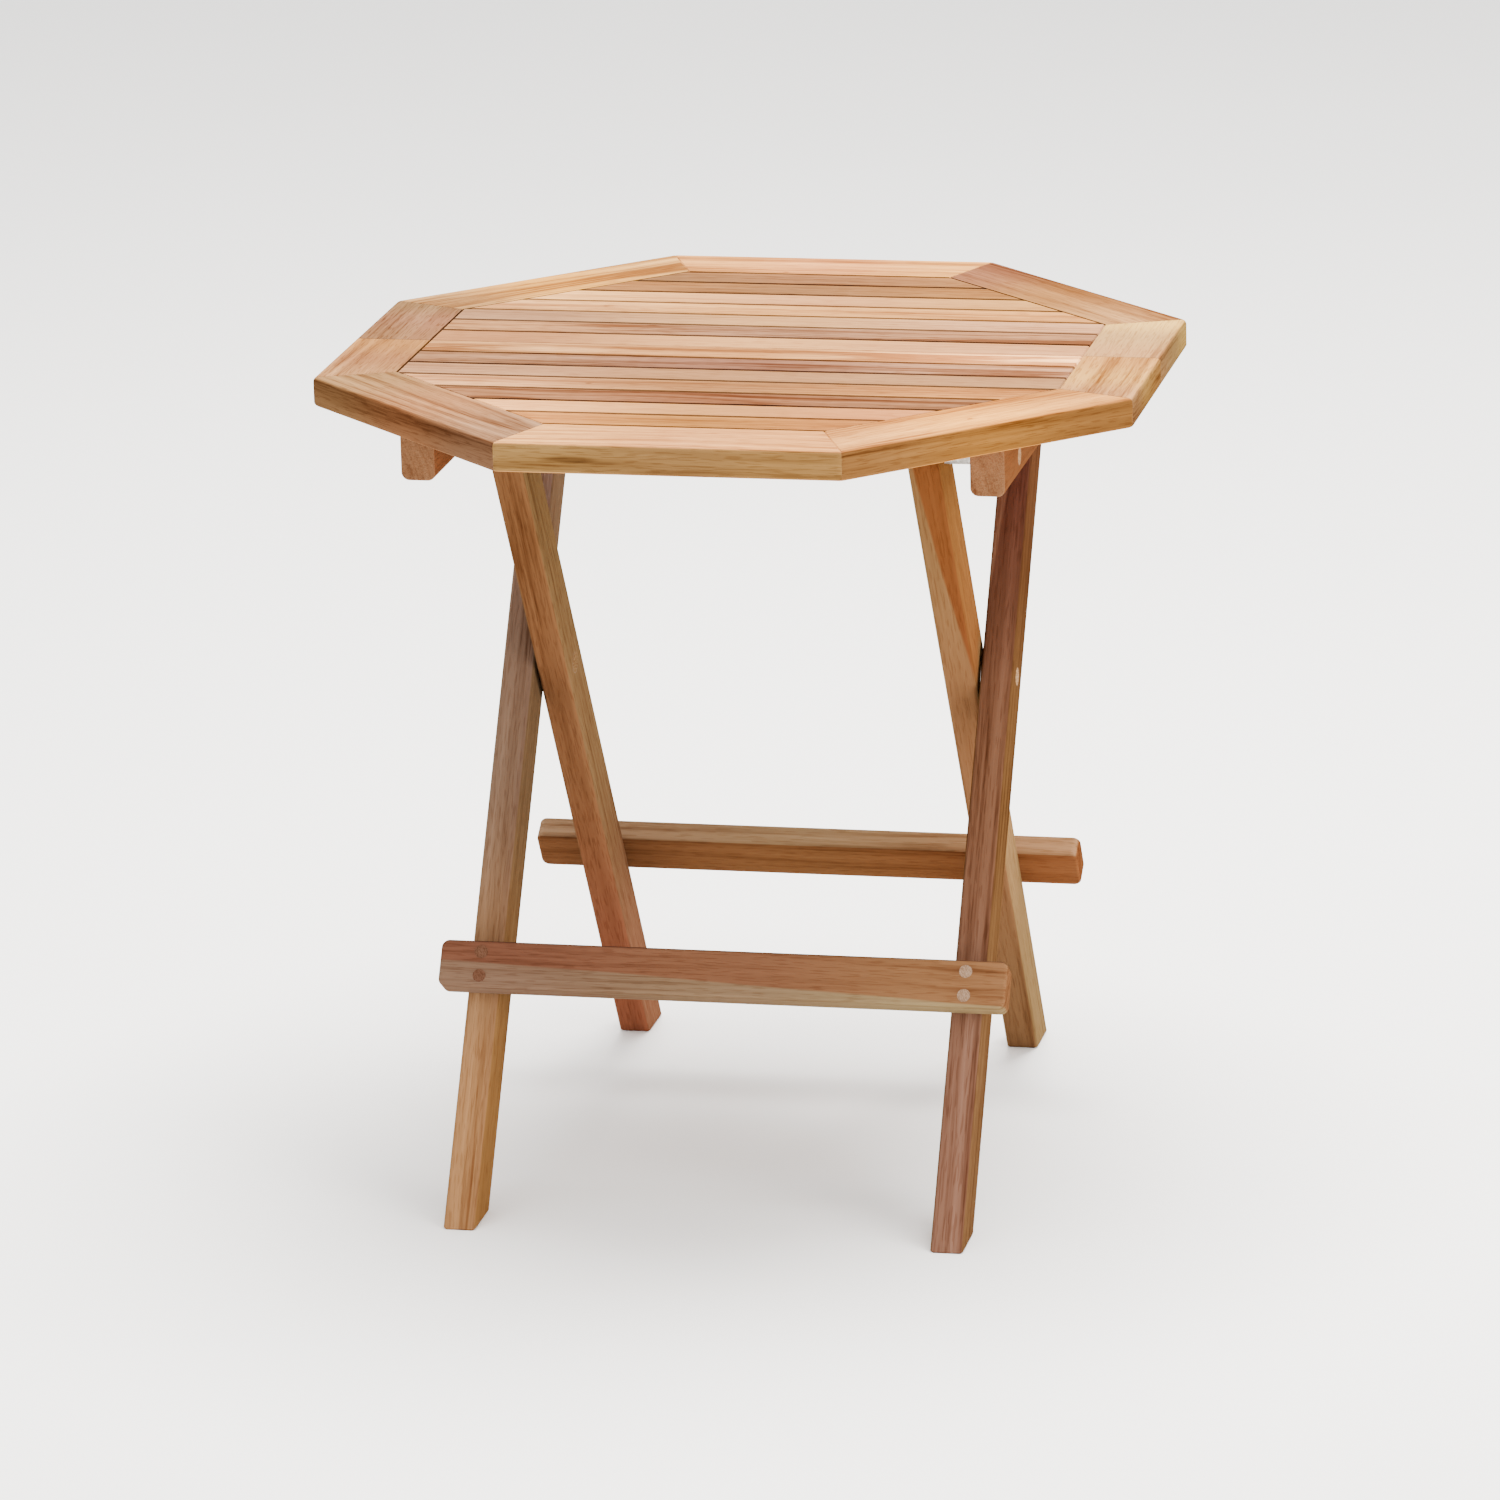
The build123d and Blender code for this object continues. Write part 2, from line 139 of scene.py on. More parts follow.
@dataclass(frozen=True)
class Lie:
    """How a board lies in the table.

    Attributes:
        centre: Its middle.
        grain: Unit vector along its grain.
        over: Unit vector across its grain, in the plane of its main face.
        cheek_light_and_shade: Unit vector out of the narrow face that takes the painted light and
            shade.
        length: Length along the grain.
    """

    centre: Vector
    grain: Vector
    over: Vector
    cheek_light_and_shade: Vector
    length: float

    def turn(self) -> Euler:
        """Finds the rotation from the board's own axes to the table's.

        Returns:
            Euler angles for a mapping node.
        """
        third = self.grain.cross(self.over)
        return Matrix((self.grain, self.over, third)).transposed().to_euler("XYZ")


class Graph:
    """Adds shader nodes to a tree, each from numbers or from other nodes' outputs."""

    def __init__(self, tree: bpy.types.NodeTree) -> None:
        """Keeps the tree to add to.

        Args:
            tree: A material's node tree or a node group.
        """
        self.tree = tree

    def add(
        self, kind: str, values: dict[int | str, object] | None = None, **settings: object
    ) -> bpy.types.Node:
        """Adds a node, sets it up and links its inputs.

        Args:
            kind: The node type's name after "ShaderNode".
            values: Input name or index to a constant or a socket.
            settings: Node properties.

        Returns:
            The node.
        """
        node = self.tree.nodes.new("ShaderNode" + kind)
        for name, value in settings.items():
            setattr(node, name, value)
        for key, value in (values or {}).items():
            if isinstance(value, bpy.types.NodeSocket):
                self.tree.links.new(value, node.inputs[key])
            else:
                node.inputs[key].default_value = value
        return node

    def math(
        self, operation: str, a: float | Socket, b: float | Socket = 0.0, clamp: bool = False
    ) -> Socket:
        """Adds one step of arithmetic.

        Args:
            operation: The operation's name.
            a: First number.
            b: Second number.
            clamp: Whether to keep the result between 0 and 1.

        Returns:
            The result.
        """
        return self.add("Math", {0: a, 1: b}, operation=operation, use_clamp=clamp).outputs[0]

    def vector(self, operation: str, a: object, b: object = (0.0, 0.0, 0.0)) -> Socket:
        """Adds one step of vector arithmetic.

        Args:
            operation: The operation's name.
            a: First vector.
            b: Second vector.

        Returns:
            The result, a number for a length or a dot product.
        """
        node = self.add("VectorMath", {0: a, 1: b}, operation=operation)
        return node.outputs["Value" if operation in ("LENGTH", "DOT_PRODUCT") else "Vector"]

    def step(
        self, value: Socket, low: float, high: float, start: float = 0.0, end: float = 1.0
    ) -> Socket:
        """Rises smoothly from start to end as a number passes from low to high.

        Args:
            value: The number.
            low: Where the rise starts.
            high: Where it ends.
            start: Result before it.
            end: Result after it.

        Returns:
            The eased number.
        """
        values = {
            "Value": value, "From Min": low, "From Max": high, "To Min": start, "To Max": end,
        }
        return self.add("MapRange", values, interpolation_type="SMOOTHSTEP").outputs["Result"]

    def mix(self, factor: float | Socket, a: object, b: object, how: str = "MIX") -> Socket:
        """Mixes two colours.

        Args:
            factor: Share of the second.
            a: First colour.
            b: Second colour.
            how: Blend type.

        Returns:
            The mixed colour.
        """
        node = self.add("Mix", {0: factor, 6: a, 7: b}, data_type="RGBA", blend_type=how)
        return node.outputs[2]

    def noise(
        self, place: Socket, stretch: Triple, detail: float, roughness: float = 0.5
    ) -> bpy.types.Node:
        """Adds noise, stretched along the axes.

        Args:
            place: Where to read it.
            stretch: Repeats per metre along each axis.
            detail: Octaves of finer noise.
            roughness: Strength of each finer octave.

        Returns:
            The noise node.
        """
        scaled = self.vector("MULTIPLY", place, stretch)
        values = {"Vector": scaled, "Scale": 1.0, "Detail": detail, "Roughness": roughness}
        return self.add("TexNoise", values)


def rgba(colour: Sequence[float]) -> tuple[float, float, float, float]:
    """Adds full opacity to a colour.

    Args:
        colour: Red, green and blue.

    Returns:
        The colour with alpha 1.
    """
    return (colour[0], colour[1], colour[2], 1.0)


class TeakGroup:
    """The node group that every teak board shares: rings, fibres, pores and changes of tone."""

    INPUTS: tuple[tuple[str, str, object], ...] = (
        ("Place", "NodeSocketVector", (0.0, 0.0, 0.0)),
        ("Start", "NodeSocketColor", (0.5, 0.3, 0.2, 1.0)),
        ("Middle", "NodeSocketColor", (0.5, 0.3, 0.2, 1.0)),
        ("Finish", "NodeSocketColor", (0.5, 0.3, 0.2, 1.0)),
        ("Half Length", "NodeSocketFloat", 0.2),
        ("Seed", "NodeSocketFloat", 0.0),
        ("Rings", "NodeSocketFloat", 150.0),
        ("Waver", "NodeSocketFloat", 0.01),
        ("Strength", "NodeSocketFloat", 0.8),
        ("Pith", "NodeSocketVector", (0.0, 0.0, 0.03)),
        ("Contrast", "NodeSocketFloat", 1.0),
        ("End", "NodeSocketFloat", 0.0),
    )
    OUTPUTS: tuple[tuple[str, str], ...] = (
        ("Colour", "NodeSocketColor"),
        ("Height", "NodeSocketFloat"),
        ("Rough", "NodeSocketFloat"),
    )

    def __init__(self) -> None:
        """Builds the group once."""
        self.tree = bpy.data.node_groups.new("teak", "ShaderNodeTree")
        for name, kind, default in self.INPUTS:
            socket = self.tree.interface.new_socket(name=name, in_out="INPUT", socket_type=kind)
            socket.default_value = default
        for name, kind in self.OUTPUTS:
            self.tree.interface.new_socket(name=name, in_out="OUTPUT", socket_type=kind)
        self._fill()

    def _fill(self) -> None:
        """Links the group's nodes from its inputs to its outputs."""
        g = Graph(self.tree)
        given = self.tree.nodes.new("NodeGroupInput").outputs
        place, seed = given["Place"], given["Seed"]
        second, third = g.math("MULTIPLY", seed, 0.37), g.math("MULTIPLY", seed, 0.71)
        shift = g.add("CombineXYZ", {0: seed, 1: second, 2: third})
        own = g.vector("ADD", place, shift.outputs[0])

        # The rings wander: the distance from a wavering pith line drives noise of one dimension, so
        # the bands have uneven widths and run together into arches where the pith comes near.
        sway = g.noise(own, (2.6, 11.0, 11.0), 2.0).outputs["Color"]
        sway = g.vector("SUBTRACT", sway, (0.5, 0.5, 0.5))
        sway = g.add("VectorMath", {0: sway, "Scale": given["Waver"]}, operation="SCALE").outputs[0]
        bent = g.vector("ADD", g.vector("ADD", place, sway), given["Pith"])
        radius = g.vector("LENGTH", g.vector("MULTIPLY", bent, (0.0, 1.0, 1.0)))
        count = g.math("ADD", g.math("MULTIPLY", radius, given["Rings"]), seed)
        values = {"W": count, "Scale": 1.0, "Detail": 3.0, "Roughness": 0.6}
        rings = g.add("TexNoise", values, noise_dimensions="1D").outputs[0]

        fibre = g.noise(own, (14.0, 460.0, 460.0), 2.5, 0.6).outputs[0]
        pores = g.step(g.noise(own, (85.0, 1150.0, 1150.0), 0.0).outputs[0], 0.56, 0.70)
        patch = g.noise(own, (7.0, 30.0, 30.0), 1.5).outputs[0]

        figure = g.math("MULTIPLY", g.math("SUBTRACT", rings, 0.5), given["Strength"])
        fine = g.math("MULTIPLY", g.math("SUBTRACT", fibre, 0.5), 0.70)
        slow = g.math("MULTIPLY", g.math("SUBTRACT", patch, 0.5), 0.55)
        tone = g.math("ADD", g.math("ADD", figure, fine), slow)
        tone = g.math("MULTIPLY", tone, given["Contrast"])
        tone = g.math("ADD", tone, 0.5, clamp=True)

        # The ground colour passes from the start of the board through its middle to its finish.
        along = g.add("SeparateXYZ", {0: place}).outputs[0]
        along = g.math("DIVIDE", along, given["Half Length"])
        ground = g.mix(g.step(along, -0.8, 0.0), given["Start"], given["Middle"])
        ground = g.mix(g.step(along, 0.0, 0.8), ground, given["Finish"])
        dark = g.mix(1.0, ground, DARK_WOOD, "MULTIPLY")
        light = g.mix(1.0, ground, LIGHT_WOOD, "MULTIPLY")
        colour = g.mix(g.step(tone, 0.14, 0.54), dark, ground)
        colour = g.mix(g.step(tone, 0.50, 0.92), colour, light)

        # Thin dark lines follow the latewood, and short pores follow the fibres.
        late = g.math("ABSOLUTE", g.math("SUBTRACT", rings, 0.43))
        late = g.math("MULTIPLY", g.step(late, 0.004, 0.028, 1.0, 0.0), given["Strength"])
        late = g.math("MULTIPLY", g.math("MULTIPLY", late, given["Contrast"]), 0.30, clamp=True)
        colour = g.mix(late, colour, LATEWOOD_LINE, "MULTIPLY")
        open_pores = g.math("MULTIPLY", pores, given["Contrast"])
        open_pores = g.math("MULTIPLY", open_pores, 0.42, clamp=True)
        colour = g.mix(open_pores, colour, OPEN_PORE, "MULTIPLY")

        # End grain drinks more: it is darker and rougher.
        speck = g.noise(own, (2600.0, 2600.0, 2600.0), 1.0).outputs[0]
        end = g.mix(g.step(speck, 0.30, 0.70), END_GRAIN_DARK, END_GRAIN_LIGHT)
        colour = g.mix(given["End"], colour, g.mix(1.0, colour, end, "MULTIPLY"))

        height = g.math("ADD", g.math("MULTIPLY", fibre, 0.6), g.math("MULTIPLY", rings, 0.5))
        height = g.math("SUBTRACT", height, g.math("MULTIPLY", pores, 0.5))
        rough = g.step(tone, 0.2, 0.8, 0.72, 0.60)
        rough = g.math("ADD", rough, g.math("MULTIPLY", given["End"], 0.12))
        out = self.tree.nodes.new("NodeGroupOutput").inputs
        for name, value in (("Colour", colour), ("Height", height), ("Rough", rough)):
            self.tree.links.new(value, out[name])


@dataclass(frozen=True)
class TeakFinish:
    """Bare matte teak on one board, with a faint sheen and a painted highlight on its worn arrises.

    Attributes:
        start: Colour at the left or lower end.
        middle: Colour half way.
        finish: Colour at the right or upper end.
        cheek_light_and_shade: What the narrow face multiplies the colour by: painted shade below 1,
            painted light above 1.
        both_cheeks: Whether the opposite narrow face takes the painted light and shade too.
        figure: How the rings show.
        seed: Picks the piece of wood.
        pith: Distance from the middle of the board to the middle of the tree, across and below.
        contrast: How strongly the grain shows.
        bands: Strips of other wood.
        knots: Knots and flecks.
    """

    start: Colour
    middle: Colour
    finish: Colour
    cheek_light_and_shade: Colour = (1.0, 1.0, 1.0)
    both_cheeks: bool = True
    figure: Figure = Figure.STRAIGHT
    seed: float = 0.0
    pith: tuple[float, float] = (0.02, 0.05)
    contrast: float = 1.0
    bands: tuple[Band, ...] = ()
    knots: tuple[Knot, ...] = ()

    def material(self, name: str, lie: Lie, teak: TeakGroup) -> bpy.types.Material:
        """Builds the board's material.

        Args:
            name: Material name.
            lie: How the board lies.
            teak: The shared group.

        Returns:
            The material.
        """
        made = bpy.data.materials.new(name)
        made.use_nodes = True
        made.node_tree.nodes.clear()
        g = Graph(made.node_tree)
        coords = g.add("TexCoord")
        turned = g.add(
            "Mapping",
            {"Vector": coords.outputs["Object"], "Location": lie.centre, "Rotation": lie.turn()},
            vector_type="TEXTURE",
        ).outputs[0]
        normal = coords.outputs["Normal"]
        end = g.math("ABSOLUTE", g.vector("DOT_PRODUCT", normal, tuple(lie.grain)))
        end = g.step(end, 0.72, 0.95)
        rings, waver, strength = self.figure.value
        group = g.add("Group", node_tree=teak.tree)
        settings: dict[str, object] = {
            "Start": rgba(self.start), "Middle": rgba(self.middle), "Finish": rgba(self.finish),
            "Half Length": lie.length / 2, "Seed": self.seed, "Rings": rings, "Waver": waver,
            "Strength": strength, "Pith": (0.0, *self.pith), "Contrast": self.contrast,
        }
        for key, value in settings.items():
            group.inputs[key].default_value = value
        made.node_tree.links.new(turned, group.inputs["Place"])
        made.node_tree.links.new(end, group.inputs["End"])
        colour = group.outputs["Colour"]

        split = g.add("SeparateXYZ", {0: turned}).outputs
        for band in self.bands:
            colour = self._band(g, colour, turned, split, band)
        for knot in self.knots:
            colour = self._knot(g, colour, split, knot)
        # Painted light and shade on the narrow face: its colour is multiplied by the colour given
        # for that face.
        side = g.vector("DOT_PRODUCT", normal, tuple(lie.cheek_light_and_shade))
        side = g.step(g.math("ABSOLUTE", side) if self.both_cheeks else side, 0.50, 0.80)
        colour = g.mix(side, colour, g.mix(1.0, colour, rgba(self.cheek_light_and_shade), "MULTIPLY"))

        # Handling polishes the arrises: where a rounded normal leaves the true one.
        rounded = g.add("Bevel", {"Radius": WOOD_ARRIS_RADIUS}, samples=4).outputs[0]
        true = g.add("NewGeometry").outputs["Normal"]
        arris_share = g.step(g.vector("DOT_PRODUCT", rounded, true), 0.80, 0.995, 1.0, 0.0)
        patchy = g.step(g.noise(turned, (30.0, 60.0, 60.0), 2.0).outputs[0], 0.35, 0.65)
        arris_share = g.math("MULTIPLY", arris_share, g.math("MULTIPLY", patchy, 0.45))
        # The arrises are paled: part wear, part a painted highlight.
        colour = g.mix(arris_share, colour, ARRIS_WEAR_AND_HIGHLIGHT, "MULTIPLY")
        rough = g.math("SUBTRACT", group.outputs["Rough"], g.math("MULTIPLY", arris_share, 0.12))
        height = group.outputs["Height"]
        bump = g.add("Bump", {"Strength": 0.35, "Distance": 0.0005, "Height": height})
        sheen = g.math("MULTIPLY", arris_share, 0.25)
        values = {"Base Color": colour, "Roughness": rough, "Normal": bump.outputs[0]}
        shader = g.add("BsdfPrincipled", values | {"Specular IOR Level": sheen})
        g.add("OutputMaterial", {"Surface": shader.outputs[0]})
        return made

    @staticmethod
    def _band(
        g: Graph, colour: Socket, place: Socket, split: Sequence[Socket], band: Band
    ) -> Socket:
        """Tints the strip of a board beyond a wavering line.

        Args:
            g: The material's graph.
            colour: Colour so far.
            place: Board coordinates.
            split: Board coordinates, one by one.
            band: The strip.

        Returns:
            The colour with the strip.
        """
        sway = g.noise(place, (5.0, 20.0, 20.0), 2.0).outputs[0]
        sway = g.math("MULTIPLY", g.math("SUBTRACT", sway, 0.5), BAND_WANDER)
        line = g.math("ADD", split[1], sway)
        line = g.math("SUBTRACT", line, g.math("MULTIPLY", split[0], band.slope))
        line = g.math("MULTIPLY", line, float(band.side))
        edge = band.edge * band.side
        share = g.step(line, edge - band.blur / 2, edge + band.blur / 2)
        share = g.math("MULTIPLY", share, band.strength)
        return g.mix(share, colour, rgba(band.tint), "MULTIPLY")

    @staticmethod
    def _knot(g: Graph, colour: Socket, split: Sequence[Socket], knot: Knot) -> Socket:
        """Darkens a small oval.

        Args:
            g: The material's graph.
            colour: Colour so far.
            split: Board coordinates, one by one.
            knot: The knot.

        Returns:
            The colour with the knot.
        """
        x = g.math("DIVIDE", g.math("SUBTRACT", split[0], knot.along), knot.radius * knot.stretch)
        y = g.math("DIVIDE", g.math("SUBTRACT", split[1], knot.over), knot.radius)
        z = g.math("DIVIDE", g.math("SUBTRACT", split[2], knot.down), knot.reach)
        far = g.vector("LENGTH", g.add("CombineXYZ", {0: x, 1: y, 2: z}).outputs[0])
        core = g.math("MULTIPLY", g.step(far, 0.45, 1.1, 1.0, 0.0), knot.depth)
        halo = g.math("MULTIPLY", g.step(far, 0.9, 3.2, 1.0, 0.0), knot.depth * 0.35)
        colour = g.mix(halo, colour, KNOT_HALO, "MULTIPLY")
        return g.mix(core, colour, KNOT_CORE, "MULTIPLY")


@dataclass(frozen=True)
class PlugFinish:
    """Cross-cut wooden plugs: short fibres and a tone for each place.

    Attributes:
        left: Colour of plugs on the left side.
        right: Colour of plugs on the right side.
        lower: What the lower plugs multiply their colour by.
        middle_height: Height that parts upper from lower plugs.
    """

    left: Colour
    right: Colour
    lower: Colour = (1.0, 1.0, 1.0)
    middle_height: float = 0.0

    def material(self, name: str) -> bpy.types.Material:
        """Builds the plugs' material.

        Args:
            name: Material name.

        Returns:
            The material.
        """
        made = bpy.data.materials.new(name)
        made.use_nodes = True
        made.node_tree.nodes.clear()
        g = Graph(made.node_tree)
        place = g.add("TexCoord").outputs["Object"]
        split = g.add("SeparateXYZ", {0: place}).outputs
        colour = g.mix(g.math("GREATER_THAN", split[0], 0.0), rgba(self.left), rgba(self.right))
        low = g.math("LESS_THAN", split[2], self.middle_height)
        colour = g.mix(low, colour, g.mix(1.0, colour, rgba(self.lower), "MULTIPLY"))
        slant = g.add("Mapping", {"Vector": place, "Rotation": (0.0, PLUG_FIBRE_SLANT, 0.0)})
        slant = slant.outputs[0]
        fibre = g.noise(slant, (2600.0, 300.0, 420.0), 2.0).outputs[0]
        speck = g.noise(place, (1800.0, 1800.0, 1800.0), 1.0).outputs[0]
        grain = g.math("ADD", g.math("MULTIPLY", fibre, 0.7), g.math("MULTIPLY", speck, 0.3))
        dark = g.mix(1.0, colour, PLUG_FIBRE, "MULTIPLY")
        colour = g.mix(g.step(grain, 0.40, 0.60), dark, colour)
        bump = g.add("Bump", {"Strength": 0.4, "Distance": 0.0003, "Height": grain})
        rough = g.step(grain, 0.3, 0.7, 0.72, 0.58)
        values = {"Base Color": colour, "Roughness": rough, "Normal": bump.outputs[0]}
        shader = g.add("BsdfPrincipled", values | {"Specular IOR Level": 0.0})
        g.add("OutputMaterial", {"Surface": shader.outputs[0]})
        return made


@dataclass(frozen=True)
class MetalFinish:
    """Plated or tarnished metal.

    Attributes:
        bright: Colour where it is clean.
        dull: Colour where it has tarnished.
        rough: Roughness where it is clean.
        spots: Patches of tarnish per metre.
    """

    bright: Colour
    dull: Colour
    rough: float = 0.32
    spots: float = 160.0

    def material(self, name: str) -> bpy.types.Material:
        """Builds the metal's material.

        Args:
            name: Material name.

        Returns:
            The material.
        """
        made = bpy.data.materials.new(name)
        made.use_nodes = True
        made.node_tree.nodes.clear()
        g = Graph(made.node_tree)
        place = g.add("TexCoord").outputs["Object"]
        tarnish = g.noise(place, (self.spots, self.spots, self.spots), 4.0, 0.6).outputs[0]
        brushed = g.noise(place, (90.0, 2400.0, 2400.0), 2.0).outputs[0]
        share = g.step(tarnish, 0.38, 0.66)
        rounded = g.add("Bevel", {"Radius": METAL_WEAR_RADIUS}, samples=4).outputs[0]
        true = g.add("NewGeometry").outputs["Normal"]
        arris_share = g.step(g.vector("DOT_PRODUCT", rounded, true), 0.80, 0.99, 1.0, 0.0)
        share = g.math("MULTIPLY", share, g.math("SUBTRACT", 1.0, g.math("MULTIPLY", arris_share, 0.7)))
        colour = g.mix(share, rgba(self.bright), rgba(self.dull))
        rough = g.step(brushed, 0.3, 0.7, self.rough, self.rough + 0.1)
        rough = g.math("ADD", g.math("MULTIPLY", share, 0.25), rough)
        bump = g.add("Bump", {"Strength": 0.2, "Distance": 0.0001, "Height": brushed})
        values = {"Base Color": colour, "Roughness": rough, "Normal": bump.outputs[0]}
        shader = g.add("BsdfPrincipled", values | {"Metallic": 1.0})
        g.add("OutputMaterial", {"Surface": shader.outputs[0]})
        return made


def paint(node: str, material: bpy.types.Material) -> None:
    """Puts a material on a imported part.

    Args:
        node: The part's name.
        material: Its finish.
    """
    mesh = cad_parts[node].data
    if not mesh.materials:
        mesh.materials.append(material)
    for index in range(len(mesh.materials)):
        mesh.materials[index] = material
    log.info("%s: %s", node, material.name)


def middle_of(node: str) -> Vector:
    """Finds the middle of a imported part's box.

    Args:
        node: The part's name.

    Returns:
        The middle, in metres.
    """
    low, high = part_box(node)
    return (low + high) / 2


@dataclass
class Slats:
    """The slats of both halves, each with its own board of teak.

    Attributes:
        teak: The shared node group.
        finishes: The finish of each slat, by node.
    """

    teak: TeakGroup
    finishes: dict[str, TeakFinish]

    def build(self) -> None:
        """Paints every slat."""
        for node, finish in self.finishes.items():
            low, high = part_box(node)
            middle = (low + high) / 2
            away_from_joint = math.copysign(1, middle.y) * BACK
            lie = Lie(middle, RIGHT, BACK, away_from_joint, high.x - low.x)
            paint(node, finish.material(node, lie, self.teak))


@dataclass
class Border:
    """The boards round the top, each with its grain along its own side of the octagon.

    Attributes:
        teak: The shared node group.
        finishes: The finish of each board, by node.
        facing: The direction that each board's outer edge faces, in degrees from +X.
    """

    teak: TeakGroup
    finishes: dict[str, TeakFinish]
    facing: dict[str, float] = field(default_factory=dict)

    def build(self) -> None:
        """Paints every border board."""
        for node, finish in self.finishes.items():
            angle = math.radians(self.facing[node])
            out = Vector((math.cos(angle), math.sin(angle), 0))
            grain = Vector((-out.y, out.x, 0))
            box_middle = middle_of(node)
            centre = out * (HALF_TOP - BORDER_WIDTH / 2) + grain * box_middle.dot(grain)
            centre.z = box_middle.z
            length = SHORT_BORDER_BOARD if node in SHORT_BORDER_NODES else LONG_BORDER_BOARD
            lie = Lie(centre, grain, out, out, length)
            paint(node, finish.material(node, lie, self.teak))


@dataclass
class Battens:
    """The four battens under the top.

    Attributes:
        teak: The shared node group.
        finishes: The finish of each batten, by node.
    """

    teak: TeakGroup
    finishes: dict[str, TeakFinish]

    def build(self) -> None:
        """Paints every batten."""
        for node, finish in self.finishes.items():
            low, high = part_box(node)
            lie = Lie((low + high) / 2, BACK, UP, RIGHT, high.y - low.y)
            paint(node, finish.material(node, lie, self.teak))


@dataclass
class LegFrame:
    """Two legs and their stretcher.

    Attributes:
        teak: The shared node group.
        lean: 1 if the tops lean to the back, -1 if they lean to the front.
        legs: The finish of each leg, by node.
        stretcher: The stretcher's node and finish.
    """

    teak: TeakGroup
    lean: int
    legs: dict[str, TeakFinish]
    stretcher: tuple[str, TeakFinish]

    def build(self) -> None:
        """Paints the legs and the stretcher."""
        up = Vector((0, self.lean * math.sin(LEG_LEAN), math.cos(LEG_LEAN)))
        for node, finish in self.legs.items():
            lie = Lie(middle_of(node), up, RIGHT, RIGHT, LEG_LENGTH)
            paint(node, finish.material(node, lie, self.teak))
        node, finish = self.stretcher
        lie = Lie(middle_of(node), RIGHT, up, up, STRETCHER_LENGTH)
        paint(node, finish.material(node, lie, self.teak))


@dataclass
class Fittings:
    """Plugs, splines, screws, bolts and hinges.

    Attributes:
        teak: The shared node group.
        plugs: The finish of each group of plugs, by node.
        splines: The finish of each group of splines, by node.
        steel: The finish of screws, bolts, nuts, washers and spacers.
        brass: The finish of the hinges.
        steel_nodes: The nodes made of steel.
        brass_nodes: The nodes made of brass.
    """

    teak: TeakGroup
    plugs: dict[str, PlugFinish]
    splines: dict[str, TeakFinish]
    steel: MetalFinish
    brass: MetalFinish
    steel_nodes: tuple[str, ...]
    brass_nodes: tuple[str, ...]

    def build(self) -> None:
        """Paints every fitting."""
        for node, plug in self.plugs.items():
            paint(node, plug.material(node))
        for node, finish in self.splines.items():
            lie = Lie(middle_of(node), RIGHT, BACK, UP, SPLINE_SPAN)
            paint(node, finish.material(node, lie, self.teak))
        steel = self.steel.material("zinc_plated_steel")
        brass = self.brass.material("aged_brass")
        for node in self.steel_nodes:
            paint(node, steel)
        for node in self.brass_nodes:
            paint(node, brass)


@dataclass(frozen=True)
class Lamp:
    """A square soft light.

    Attributes:
        name: Its name.
        place: Where it hangs, in metres.
        target: Where it points.
        size: Side of the square.
        power: Watts.
        tone: Colour of the light.
    """

    name: str
    place: Triple
    target: Triple
    size: float
    power: float
    tone: Colour


